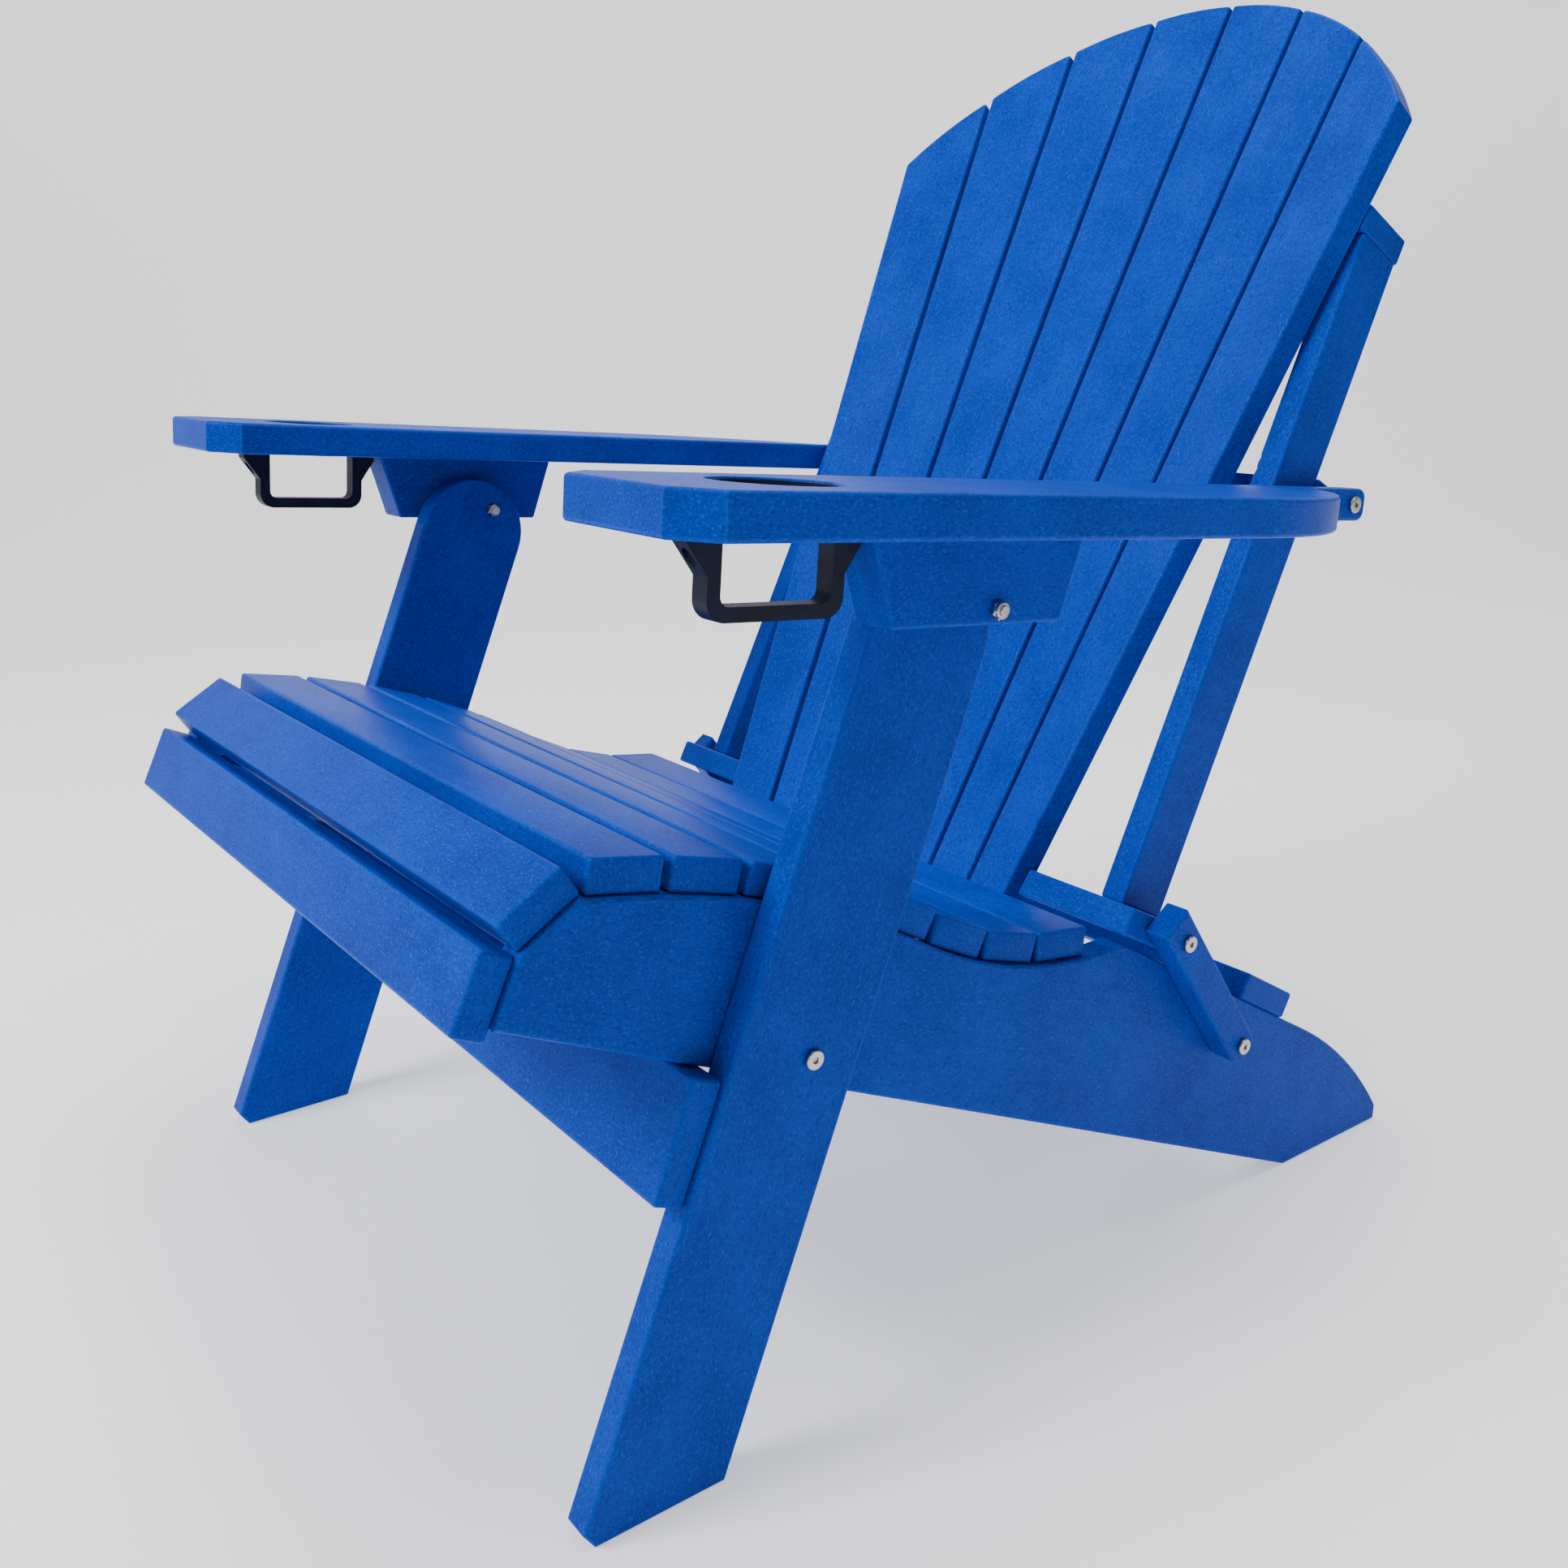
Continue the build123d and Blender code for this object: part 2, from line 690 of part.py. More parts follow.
def slatScrews(up):
    """Start and direction of the screws into every slat at one level."""
    places = []
    for number in range(-fanHalf, fanHalf + 1):
        plane, lean, stretch = fanPlane(number)
        reach = up + fanReach
        behind = boardThick + slatScrewRun
        start = plane.origin + plane.x_dir * (lean * reach) + plane.y_dir * (stretch * reach)
        places.append((start - plane.z_dir * behind, plane.z_dir))
    return places


slatScrewLength = slatScrewRun + screwPoint
crossbarHigh = crossbarLow + boardThick
crossbarMiddle = crossbarLow + boardThick / 2
braceHigh = braceLow + boardThick
uprightMiddleX = (uprightInnerX + uprightOuterX) / 2
uprightRise = braceLow - crossbarHigh
uprightLean = (uprightFrontHigh - uprightFrontLow) / uprightRise
armBoardLow = armBoardUp - boardThick / 2
armBoardHigh = armBoardUp + boardThick / 2
backUp = Vector(0, sin(radians(backLean)), cos(radians(backLean)))
backForward = Vector(0, -cos(radians(backLean)), sin(radians(backLean)))


def uprightFront(up):
    return uprightFrontLow + uprightLean * (up - crossbarHigh)


# screws of the uprights: (start, direction), driven from the brace and from the crossbar
braceScrews = []
crossbarScrews = []
for side, word in sides:
    for forward in (-12, -34):
        start = backSpot(side * uprightMiddleX, braceHigh - screwSink, forward)
        braceScrews.append((start, backUp * -1))
    for forward in (-10, -50):
        start = backSpot(side * uprightMiddleX, crossbarLow + screwSink, forward)
        crossbarScrews.append((start, backUp))
uprightScrewLength = boardThick - screwSink + uprightScrewPoint
armBoardFront = uprightFront(armBoardUp) - uprightDepth
armBoardJoints = [(backPoint(armBoardUp + reach, armBoardFront), -backLean) for reach in (-5, 5)]

for number in range(-fanHalf, fanHalf + 1):
    with BuildPart() as backSlat:
        plane, corners = fanOutline(number, slatFoot, archTop + archSpare, -backSlatGap / 2, -backSlatGap / 2)
        with BuildSketch(plane):
            with BuildLine():
                Polyline(*corners, close=True)
            make_face()
        extrude(amount=-boardThick)
        archPlane = Plane(origin=backSpot(0, 0, 0), x_dir=(1, 0, 0), z_dir=backForward)
        with BuildSketch(archPlane):
            with Locations((0, archTop - archRadius)):
                Rectangle(3 * archRadius, 2 * archRadius, align=(Align.CENTER, Align.MIN))
                Circle(archRadius, mode=Mode.SUBTRACT)
        extrude(amount=archRadius, both=True, mode=Mode.SUBTRACT)
        fillet(backSlat.edges(), radius=easedEdge)
        for up in (crossbarMiddle, braceLow + boardThick / 2):
            start, aim = slatScrews(up)[number + fanHalf]
            add(screwHole(start, aim, slatScrewLength, 0), mode=Mode.SUBTRACT)
    keep(backSlat.part, "back_slat_" + str(number + fanHalf + 1))

with BuildPart() as crossbar:
    with BuildSketch(backPlane(crossbarLow)):
        with Locations((0, -crossbarFront)):
            Rectangle(2 * railOuterX, crossbarFront - crossbarRear, align=(Align.CENTER, Align.MIN))
    extrude(amount=boardThick)
    fillet(crossbar.edges(), radius=easedEdge)
    for room in recess(crossbarLow - 1, crossbarHigh + 1):
        add(room, mode=Mode.SUBTRACT)
    for start, aim in slatScrews(crossbarMiddle):
        add(screwHole(start, aim, slatScrewLength, slatScrewBore), mode=Mode.SUBTRACT)
    for start, aim in crossbarScrews:
        add(screwHole(start, aim, uprightScrewLength, screwSink), mode=Mode.SUBTRACT)
    for side, word in sides:
        drilled = barrelDepth + boltPast * 4
        hole = startX(side, railOuterX - drilled, railOuterX)
        add(xBar(hole, linkTopPivot, drilled, boltRadius + snug), mode=Mode.SUBTRACT)
        spot = backSpot(side * (railOuterX - barrelDepth), crossbarLow, linkTopForward)
        add(barrel(spot, barrelRadius + barrelSnug, False), mode=Mode.SUBTRACT)
keep(crossbar.part, "lower_crossbar")

with BuildPart() as brace:
    with BuildSketch(backPlane(braceLow)):
        with Locations((0, -braceFront)):
            Rectangle(2 * uprightOuterX, braceFront - braceRear, align=(Align.CENTER, Align.MIN))
    extrude(amount=boardThick)
    fillet(brace.edges(), radius=easedEdge)
    for room in recess(braceLow - 1, braceHigh + 1):
        add(room, mode=Mode.SUBTRACT)
    for start, aim in slatScrews(braceLow + boardThick / 2):
        add(screwHole(start, aim, slatScrewLength, slatScrewBore), mode=Mode.SUBTRACT)
    for start, aim in braceScrews:
        add(screwHole(start, aim, uprightScrewLength, screwSink), mode=Mode.SUBTRACT)
keep(brace.part, "top_brace")

for side, word in sides:
    with BuildPart() as upright:
        with BuildSketch(sidePlane(startX(side, uprightInnerX, uprightOuterX))):
            with BuildLine():
                Polyline(
                    backPoint(crossbarHigh, uprightFrontLow),
                    backPoint(braceLow, uprightFrontHigh),
                    backPoint(braceLow, uprightFrontHigh - uprightDepth),
                    backPoint(crossbarHigh, uprightFrontLow - uprightDepth),
                    close=True,
                )
            make_face()
        extrude(amount=boardThick)
        fillet(upright.edges(), radius=easedEdge)
        for start, aim in braceScrews + crossbarScrews:
            add(screwHole(start, aim, uprightScrewLength, 0), mode=Mode.SUBTRACT)
        for joint in armBoardJoints:
            start, aim = pocketAim(side, uprightInnerX, *joint)
            add(screwHole(start, aim, pocketLength, pocketBack), mode=Mode.SUBTRACT)
    keep(upright.part, "upright_" + word)

with BuildPart() as armBoard:
    with BuildSketch(sidePlane(-armBoardHalf)):
        with BuildLine():
            Polyline(
                backPoint(armBoardLow, uprightFront(armBoardLow) - uprightDepth),
                backPoint(armBoardHigh, uprightFront(armBoardHigh) - uprightDepth),
                backPoint(armBoardHigh, armBoardFront - armBoardDepth),
                backPoint(armBoardLow, armBoardFront - armBoardDepth),
                close=True,
            )
        make_face()
    extrude(amount=2 * armBoardHalf)
    fillet(armBoard.edges(), radius=easedEdge)
    for side, word in sides:
        for joint in armBoardJoints:
            start, aim = pocketAim(side, uprightInnerX, *joint)
            add(screwHole(start, aim, pocketLength, 0), mode=Mode.SUBTRACT)
        drilled = barrelDepth + boltPast * 4
        hole = startX(side, armBoardHalf - drilled, armBoardHalf)
        add(xBar(hole, armRearPivot, drilled, boltRadius + snug), mode=Mode.SUBTRACT)
        spot = backSpot(side * (armBoardHalf - barrelDepth), armBoardLow, armRearForward)
        add(barrel(spot, barrelRadius + barrelSnug, False), mode=Mode.SUBTRACT)
keep(armBoard.part, "arm_cross_board")

with BuildPart() as crossbarBolts:
    for side, word in sides:
        length = boardThick + faceGap + barrelDepth + boltPast * 4
        add(headedBolt(side * legOuterX, side, linkTopPivot, length))
keep(crossbarBolts.part, "crossbar_bolts")

with BuildPart() as armRearBolts:
    for side, word in sides:
        length = armTailWidth + faceGap + barrelDepth + boltPast * 4
        add(headedBolt(side * (armInnerX + armTailWidth), side, armRearPivot, length))
keep(armRearBolts.part, "arm_rear_bolts")

with BuildPart() as barrelNuts:
    for side, word in sides:
        spot = backSpot(side * (railOuterX - barrelDepth), crossbarLow, linkTopForward)
        add(barrel(spot, barrelRadius, linkTopPivot))
        spot = backSpot(side * (armBoardHalf - barrelDepth), armBoardLow, armRearForward)
        add(barrel(spot, barrelRadius, armRearPivot))
keep(barrelNuts.part, "barrel_nuts")

with BuildPart() as backScrews:
    for up in (crossbarMiddle, braceLow + boardThick / 2):
        for start, aim in slatScrews(up):
            add(screw(start, aim, slatScrewLength))
    for start, aim in braceScrews + crossbarScrews:
        add(screw(start, aim, uprightScrewLength))
    for side, word in sides:
        for joint in armBoardJoints:
            start, aim = pocketAim(side, uprightInnerX, *joint)
            add(screw(start, aim, pocketLength))
keep(backScrews.part, "back_screws")

# ---- arms ----
armAim = Vector(0, sin(radians(armSlope)), cos(radians(armSlope)))
armPlane = Plane(origin=sideSpot(0, (armFrontY, armFrontZ)), x_dir=(1, 0, 0), z_dir=armAim)
tailEnd = runTo(armRearPivot) + armTailPast
tailOuterX = armInnerX + armTailWidth
sweepX = armOuterX - armSweep
sweepEnd = armStraight + sqrt(armSweep**2 - (tailOuterX - sweepX) ** 2)
sweepHalf = radians(20)   # turn to a point on the outer sweep
bracketMiddleX = (bracketInnerX + bracketOuterX) / 2
bracketRuns = (bracketTopFront + bracketScrewInset, bracketTopRear - bracketScrewInset)
flangeRuns = (cupRun - cupGrip - strapThick - flangeFront / 2, cupRun + cupGrip + strapThick + flangeRear / 2)


def armScrews(side):
    """Start and length of the screws that hold a bracket and a cup holder to their arm."""
    places = []
    for run in bracketRuns:
        start = sideSpot(side * bracketMiddleX, armPoint(run, armThick + bracketScrewRun))
        places.append((start, bracketScrewRun + screwPoint))
    for run in flangeRuns:
        start = sideSpot(side * cupX, armPoint(run, armThick + flangeThick))
        places.append((start, flangeThick + screwPoint))
    return places


for side, word in sides:
    with BuildPart() as arm:
        with BuildSketch(armPlane) as outline:
            with BuildLine():
                Polyline(
                    (side * tailOuterX, sweepEnd),
                    (side * tailOuterX, tailEnd),
                    (side * armInnerX, tailEnd),
                    (side * armInnerX, 0),
                    (side * armOuterX, 0),
                    (side * armOuterX, armStraight),
                )
                bend = (side * (sweepX + armSweep * cos(sweepHalf)), armStraight + armSweep * sin(sweepHalf))
                ThreePointArc((side * armOuterX, armStraight), bend, (side * tailOuterX, sweepEnd))
            make_face()
            chamfer(outline.vertices().sort_by_distance((side * armInnerX, 0))[0], length=armCorner)
            chamfer(outline.vertices().sort_by_distance((side * armOuterX, 0))[0], length=armCorner)
        extrude(amount=-armThick)
        fillet(arm.edges().filter_by(Axis.X).sort_by(Axis.Y)[-2:], radius=armTailCorner)
        fillet(arm.faces().filter_by(armPlane).edges(), radius=armEase)
        with BuildSketch(armPlane):
            with Locations((side * cupX, cupRun)):
                Circle(cupHoleRadius)
        extrude(amount=-armThick, mode=Mode.SUBTRACT)
        circles = arm.edges().filter_by(GeomType.CIRCLE)
        rims = circles.filter_by(lambda edge: abs(edge.radius - cupHoleRadius) < snug)
        fillet(rims, radius=cupRim)
        bore = startX(side, armInnerX, tailOuterX)
        add(xBar(bore, armRearPivot, armTailWidth, boltRadius + pinSpare), mode=Mode.SUBTRACT)
        for start, length in armScrews(side):
            add(screwHole(start, armAim, length, 0), mode=Mode.SUBTRACT)
    keep(arm.part, "arm_" + word)

    with BuildPart() as bracket:
        with BuildSketch(sidePlane(startX(side, bracketInnerX, bracketOuterX))):
            with BuildLine():
                Polyline(
                    armPoint(bracketTopFront, armThick),
                    armPoint(bracketTopRear, armThick),
                    armPoint(bracketLowRear, armThick + bracketHeight),
                    armPoint(bracketLowFront, armThick + bracketHeight),
                    close=True,
                )
            make_face()
        extrude(amount=bracketThick)
        fillet(bracket.edges(), radius=easedEdge)
        bore = startX(side, bracketInnerX, bracketOuterX)
        add(xBar(bore, armFrontPivot, bracketThick, boltRadius + snug), mode=Mode.SUBTRACT)
        for start, length in armScrews(side)[:2]:
            add(screwHole(start, armAim, length, bracketHeight), mode=Mode.SUBTRACT)
    keep(bracket.part, "arm_bracket_" + word)

    with BuildPart() as holder:
        with BuildSketch(sidePlane(side * cupX - strapWidth / 2)) as outline:
            with BuildLine():
                front = cupRun - cupGrip
                rear = cupRun + cupGrip
                floor = armThick + cupDepth
                Polyline(
                    armPoint(front - strapThick - flangeFront, armThick),
                    armPoint(front, armThick),
                    armPoint(front, floor),
                    armPoint(rear, floor),
                    armPoint(rear, armThick),
                    armPoint(rear + strapThick + flangeRear, armThick),
                    armPoint(rear + strapThick + flangeRear, armThick + flangeThick),
                    armPoint(rear + strapThick, armThick + gussetDrop),
                    armPoint(rear + strapThick, floor + strapThick),
                    armPoint(front - strapThick, floor + strapThick),
                    armPoint(front - strapThick, armThick + gussetDrop),
                    armPoint(front - strapThick - flangeFront, armThick + flangeThick),
                    close=True,
                )
            make_face()
            for run, drop, size in (
                (front, floor, strapCorner / 2),
                (rear, floor, strapCorner / 2),
                (rear + strapThick, floor + strapThick, strapCorner),
                (front - strapThick, floor + strapThick, strapCorner),
            ):
                fillet(outline.vertices().sort_by_distance(armPoint(run, drop))[0], radius=size)
        extrude(amount=strapWidth)
        with BuildSketch(armPlane.offset(-cupRim)):
            with Locations((side * cupX, cupRun)):
                Circle(cupHoleRadius - snug)
                Circle(linerInner, mode=Mode.SUBTRACT)
        extrude(amount=cupRim - armThick - linerPast)
        for start, length in armScrews(side)[2:]:
            add(screwHole(start, armAim, length, gussetDrop), mode=Mode.SUBTRACT)
    keep(holder.part, "cup_holder_" + word)

    with BuildPart() as armScrewSet:
        for start, length in armScrews(side):
            add(screw(start, armAim, length))
    keep(armScrewSet.part, "arm_screws_" + word)

with BuildPart() as boltOuterLeft:
    add(xBar(bracketInnerX, armFrontPivot, bracketThick + nutThick + boltPast, boltRadius))
keep(boltOuterLeft.part, "arm_bolt_outer_end_left")

with BuildPart() as boltOuterRight:
    add(headedBolt(-bracketOuterX, -1, armFrontPivot, bracketThick))
keep(boltOuterRight.part, "arm_bolt_outer_end_right")

with BuildPart() as armNut:
    add(lockNut(bracketOuterX, 1, armFrontPivot))
keep(armNut.part, "arm_bolt_nut")

with BuildPart() as armNutRing:
    add(nylonRing(bracketOuterX, 1, armFrontPivot))
keep(armNutRing.part, "arm_bolt_nut_insert")
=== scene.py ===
import bpy
import bmesh
import json
import math
from mathutils import Euler, Matrix, Vector

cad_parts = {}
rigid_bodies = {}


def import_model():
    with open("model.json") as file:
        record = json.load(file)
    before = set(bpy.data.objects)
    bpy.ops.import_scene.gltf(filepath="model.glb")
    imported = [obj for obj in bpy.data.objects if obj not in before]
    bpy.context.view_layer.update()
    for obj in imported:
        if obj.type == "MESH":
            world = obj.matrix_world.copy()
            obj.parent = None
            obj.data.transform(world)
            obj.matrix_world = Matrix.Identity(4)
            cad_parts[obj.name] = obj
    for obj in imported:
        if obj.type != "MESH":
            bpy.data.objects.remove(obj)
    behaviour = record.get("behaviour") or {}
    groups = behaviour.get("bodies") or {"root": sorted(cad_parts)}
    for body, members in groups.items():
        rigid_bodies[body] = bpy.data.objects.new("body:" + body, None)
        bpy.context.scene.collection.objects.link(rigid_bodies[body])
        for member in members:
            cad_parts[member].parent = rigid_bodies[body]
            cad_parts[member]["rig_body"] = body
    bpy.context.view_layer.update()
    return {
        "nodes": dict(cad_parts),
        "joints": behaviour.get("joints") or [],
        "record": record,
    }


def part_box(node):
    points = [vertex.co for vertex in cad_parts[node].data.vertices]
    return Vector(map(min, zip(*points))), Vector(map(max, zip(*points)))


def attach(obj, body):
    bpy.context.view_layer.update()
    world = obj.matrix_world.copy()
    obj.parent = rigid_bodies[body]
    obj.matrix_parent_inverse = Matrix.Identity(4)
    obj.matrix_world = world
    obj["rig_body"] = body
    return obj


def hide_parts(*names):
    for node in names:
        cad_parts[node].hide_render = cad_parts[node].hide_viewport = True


# Looks of a folding adirondack chair of plastic lumber. Metres, in the CAD's own frame.

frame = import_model()
nodes = frame["nodes"]
joints = {joint["name"]: joint for joint in frame["joints"]}
print("frame loaded:", len(nodes), "nodes")


# small helpers for shaders
def newMaterial(name):
    material = bpy.data.materials.new(name)
    material.use_nodes = True
    tree = material.node_tree
    shader = tree.nodes["Principled BSDF"]
    return material, tree, shader


def noise(tree, vector, scale, detail=2.0, roughness=0.5):
    node = tree.nodes.new("ShaderNodeTexNoise")
    node.inputs["Scale"].default_value = scale
    node.inputs["Detail"].default_value = detail
    node.inputs["Roughness"].default_value = roughness
    tree.links.new(vector, node.inputs["Vector"])
    return node.outputs["Fac"]


def ramp(tree, value, stops):
    node = tree.nodes.new("ShaderNodeValToRGB")
    node.color_ramp.elements[0].position = stops[0][0]
    node.color_ramp.elements[0].color = (*stops[0][1], 1)
    node.color_ramp.elements[1].position = stops[-1][0]
    node.color_ramp.elements[1].color = (*stops[-1][1], 1)
    for place, color in stops[1:-1]:
        element = node.color_ramp.elements.new(place)
        element.color = (*color, 1)
    tree.links.new(value, node.inputs["Fac"])
    return node.outputs["Color"]


def remap(tree, value, low, high, newLow=0.0, newHigh=1.0):
    node = tree.nodes.new("ShaderNodeMapRange")
    node.inputs["From Min"].default_value = low
    node.inputs["From Max"].default_value = high
    node.inputs["To Min"].default_value = newLow
    node.inputs["To Max"].default_value = newHigh
    tree.links.new(value, node.inputs["Value"])
    return node.outputs["Result"]


def mathNode(tree, operation, first, second):
    node = tree.nodes.new("ShaderNodeMath")
    node.operation = operation
    for index, value in enumerate((first, second)):
        if isinstance(value, (int, float)):
            node.inputs[index].default_value = value
        else:
            tree.links.new(value, node.inputs[index])
    return node.outputs["Value"]


def mixColor(tree, factor, first, second, blend="MIX"):
    node = tree.nodes.new("ShaderNodeMix")
    node.data_type = "RGBA"
    node.blend_type = blend
    for socket, value in ((node.inputs[0], factor), (node.inputs[6], first), (node.inputs[7], second)):
        if isinstance(value, (int, float)):
            socket.default_value = value
        elif isinstance(value, tuple):
            socket.default_value = (*value, 1)
        else:
            tree.links.new(value, socket)
    return node.outputs[2]


def bump(tree, shader, height, strength, distance):
    node = tree.nodes.new("ShaderNodeBump")
    node.inputs["Strength"].default_value = strength
    node.inputs["Distance"].default_value = distance
    tree.links.new(height, node.inputs["Height"])
    tree.links.new(node.outputs["Normal"], shader.inputs["Normal"])


def grainCoordinates(tree, grain, shift):
    # object coordinates turned so that X runs along the grain
    source = tree.nodes.new("ShaderNodeTexCoord")
    mapping = tree.nodes.new("ShaderNodeMapping")
    turn = Vector(grain).normalized().rotation_difference(Vector((1, 0, 0)))
    mapping.inputs["Rotation"].default_value = turn.to_euler()
    mapping.inputs["Location"].default_value = (shift, shift * 0.7, shift * 1.3)
    tree.links.new(source.outputs["Object"], mapping.inputs["Vector"])
    return mapping.outputs["Vector"]


def stretched(tree, vector, scale):
    node = tree.nodes.new("ShaderNodeVectorMath")
    node.operation = "MULTIPLY"
    node.inputs[1].default_value = scale
    tree.links.new(vector, node.inputs[0])
    return node.outputs["Vector"]


def edgeMask(tree, radius):
    # 1 on eased edges, 0 on flat faces
    soft = tree.nodes.new("ShaderNodeBevel")
    soft.samples = 4
    soft.inputs["Radius"].default_value = radius
    plain = tree.nodes.new("ShaderNodeNewGeometry")
    dot = tree.nodes.new("ShaderNodeVectorMath")
    dot.operation = "DOT_PRODUCT"
    tree.links.new(soft.outputs["Normal"], dot.inputs[0])
    tree.links.new(plain.outputs["True Normal"], dot.inputs[1])
    return remap(tree, dot.outputs["Value"], 0.995, 0.93)


# plastic lumber: solid blue with a fine pebbled skin, flecks and faint streaks along the board
lumberLook = {
    "deep": (0.0003, 0.03, 0.31),
    "mid": (0.0006, 0.04, 0.38),
    "bright": (0.001, 0.05, 0.45),
    "fleck": (0.012, 0.1, 0.6),
    "pit": (0.0002, 0.018, 0.2),
    # colour of the painted highlight laid on the eased board edges
    "edge": (0.006, 0.09, 0.58),
    "mottleScale": 14,
    "pebbleScale": 760,
    "fleckScale": 760,
    "streakStretch": (9, 260, 260),
    "streakShare": 0.2,
    "roughness": (0.36, 0.52),
    "specular": 0.07,
    "bumpStrength": 0.34,
    "bumpDepth": 0.0005,
    "edgeRadius": 0.0028,
}


def lumberMaterial(name, grain, shift):
    look = lumberLook
    material, tree, shader = newMaterial(name)
    place = grainCoordinates(tree, grain, shift)
    mottle = noise(tree, place, look["mottleScale"], 4.0, 0.6)
    streak = noise(tree, stretched(tree, place, look["streakStretch"]), 1.0, 3.0, 0.6)
    pebble = noise(tree, place, look["pebbleScale"], 3.0, 0.6)
    fleckPlace = stretched(tree, place, (0.6, 1.0, 1.0))
    fleck = noise(tree, fleckPlace, look["fleckScale"], 2.0, 0.4)
    pit = noise(tree, fleckPlace, look["fleckScale"] * 0.73, 2.0, 0.4)
    share = look["streakShare"]
    streakPart = mathNode(tree, "MULTIPLY", streak, share)
    tone = mathNode(tree, "ADD", mathNode(tree, "MULTIPLY", mottle, 1 - share), streakPart)
    color = ramp(tree, tone, [(0.34, look["deep"]), (0.5, look["mid"]), (0.68, look["bright"])])
    fleckMask = remap(tree, fleck, 0.54, 0.7, 0.0, 0.62)
    color = mixColor(tree, fleckMask, color, look["fleck"])
    pitMask = remap(tree, pit, 0.54, 0.7, 0.0, 0.6)
    color = mixColor(tree, pitMask, color, look["pit"])
    # painted highlight: eased edges are lightened towards a brighter blue as if they caught the light, patchy
    # along the streaks
    rim = edgeMask(tree, look["edgeRadius"])
    paintedEdgeHighlight = mathNode(tree, "MULTIPLY", rim, remap(tree, streak, 0.3, 0.65, 0.25, 0.8))
    color = mixColor(tree, paintedEdgeHighlight, color, look["edge"])
    tree.links.new(color, shader.inputs["Base Color"])
    rough = remap(tree, pebble, 0.3, 0.7, look["roughness"][0], look["roughness"][1])
    tree.links.new(rough, shader.inputs["Roughness"])
    shader.inputs["IOR"].default_value = 1.5
    shader.inputs["Specular IOR Level"].default_value = look["specular"]
    height = mathNode(tree, "ADD", pebble, mathNode(tree, "MULTIPLY", streak, 0.15))
    bump(tree, shader, height, look["bumpStrength"], look["bumpDepth"])
    return material


# moulded cup holders
mouldingLook = {"low": (0.0008, 0.0025, 0.012), "high": (0.002, 0.006, 0.026), "scale": 60, "grain": 900}


def mouldingMaterial(name):
    look = mouldingLook
    material, tree, shader = newMaterial(name)
    place = grainCoordinates(tree, (1, 0, 0), 0.0)
    cloud = noise(tree, place, look["scale"], 3.0)
    tree.links.new(ramp(tree, cloud, [(0.3, look["low"]), (0.7, look["high"])]), shader.inputs["Base Color"])
    fine = noise(tree, place, look["grain"], 2.0)
    tree.links.new(remap(tree, fine, 0.3, 0.7, 0.42, 0.6), shader.inputs["Roughness"])
    shader.inputs["Specular IOR Level"].default_value = 0.2
    bump(tree, shader, fine, 0.15, 0.0003)
    return material


# stainless hardware and nylon rings
steelLook = {"low": (0.36, 0.34, 0.31), "high": (0.62, 0.6, 0.57), "scratch": (30, 2500, 2500), "scale": 400}


def steelMaterial(name):
    look = steelLook
    material, tree, shader = newMaterial(name)
    place = grainCoordinates(tree, (0, 1, 0.6), 0.0)
    scratch = noise(tree, stretched(tree, place, look["scratch"]), 1.0, 3.0)
    cloud = noise(tree, place, look["scale"], 2.0)
    scratchPart = mathNode(tree, "MULTIPLY", scratch, 0.6)
    tone = mathNode(tree, "ADD", scratchPart, mathNode(tree, "MULTIPLY", cloud, 0.4))
    tree.links.new(ramp(tree, tone, [(0.3, look["low"]), (0.7, look["high"])]), shader.inputs["Base Color"])
    tree.links.new(remap(tree, scratch, 0.3, 0.7, 0.22, 0.42), shader.inputs["Roughness"])
    shader.inputs["Metallic"].default_value = 1.0
    bump(tree, shader, scratch, 0.08, 0.0001)
    return material


nylonLook = {"low": (0.62, 0.58, 0.49), "high": (0.82, 0.8, 0.73), "scale": 500}


def nylonMaterial(name):
    look = nylonLook
    material, tree, shader = newMaterial(name)
    place = grainCoordinates(tree, (1, 0, 0), 0.0)
    cloud = noise(tree, place, look["scale"], 3.0)
    tree.links.new(ramp(tree, cloud, [(0.3, look["low"]), (0.7, look["high"])]), shader.inputs["Base Color"])
    tree.links.new(remap(tree, cloud, 0.3, 0.7, 0.4, 0.55), shader.inputs["Roughness"])
    shader.inputs["Subsurface Weight"].default_value = 0.1
    shader.inputs["Subsurface Scale"].default_value = 0.002
    bump(tree, shader, cloud, 0.1, 0.0002)
    return material


steel = steelMaterial("stainless_steel")
nylon = nylonMaterial("white_nylon")
moulding = mouldingMaterial("navy_moulding")
print("materials ready")


# which way each board's grain runs, from the board itself
def boardAxes(node):
    # middle, axes (long, wide, thick) and sizes of a board, measured on its CAD mesh
    mesh = nodes[node].data
    areas = {}
    for face in mesh.polygons:
        key = tuple(round(abs(value), 2) for value in face.normal)
        area, normal = areas.get(key, (0.0, face.normal.copy()))
        areas[key] = (area + face.area, normal)
    thick = max(areas.values(), key=lambda entry: entry[0])[1].normalized()
    best = None
    points = [vertex.co for vertex in mesh.vertices]
    guide = Vector((1, 0, 0)) if abs(thick.x) < 0.9 else Vector((0, 1, 0))
    first = (guide - thick * guide.dot(thick)).normalized()
    second = thick.cross(first)
    for step in range(180):
        angle = math.radians(step)
        long = first * math.cos(angle) + second * math.sin(angle)
        wide = thick.cross(long)
        span = [point.dot(wide) for point in points]
        width = max(span) - min(span)
        if best is None or width < best[0]:
            best = (width, long, wide)
    long, wide = best[1], best[2]
    middle = Vector((0, 0, 0))
    sizes = []
    for axis in (long, wide, thick):
        span = [point.dot(axis) for point in points]
        middle += axis * (max(span) + min(span)) / 2
        sizes.append(max(span) - min(span))
    return middle, (long, wide, thick), sizes


